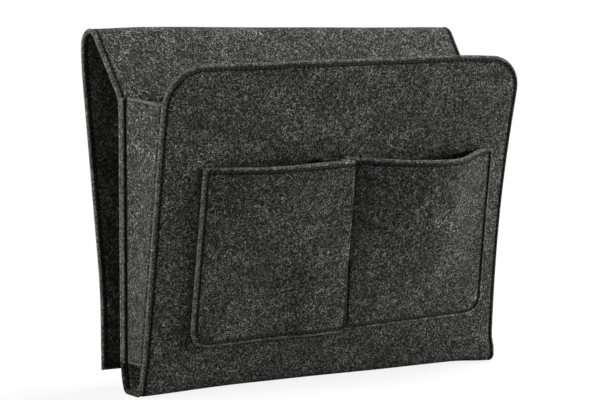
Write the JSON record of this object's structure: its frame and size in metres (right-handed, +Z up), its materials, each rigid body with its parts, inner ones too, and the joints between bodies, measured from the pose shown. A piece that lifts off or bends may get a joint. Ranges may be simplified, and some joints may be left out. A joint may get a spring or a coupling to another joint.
{
  "type": "bedside caddy",
  "caption": "Sewn felt caddy: a wedge-shaped pouch with gusseted sides and front pockets, hung by a flap that folds over behind its back.",
  "frame": {"origin": "middle of the caddy's box, on the surface that it stands on", "axes": "+X across the caddy to the right as seen from its front, +Y to the rear, towards the hanging flap, +Z up"},
  "size_m": [0.3004, 0.1228, 0.252],
  "materials": {
    "felt": "matte heather felt"
  },
  "bodies": {
    "pouch": {"front_panel": "felt", "bottom_fold": "felt", "back_panel": "felt", "left_gusset": "felt", "right_gusset": "felt", "left_pocket": "felt", "right_pocket": "felt"},
    "neck": {"upper_back": "felt"},
    "flap": {"rear_flap": "felt"}
  },
  "joints": [
    {"name": "neck_bend", "type": "hinge", "parent": "pouch", "child": "neck", "pos_m": [0, 0.00903, 0.20703], "axis": [1, 0, 0], "range_deg": [0, 40]},
    {"name": "flap_fold", "type": "hinge", "parent": "neck", "child": "flap", "pos_m": [0, 0.04792, 0.25199], "axis": [1, 0, 0], "range_deg": [-4, 150]}
  ]
}
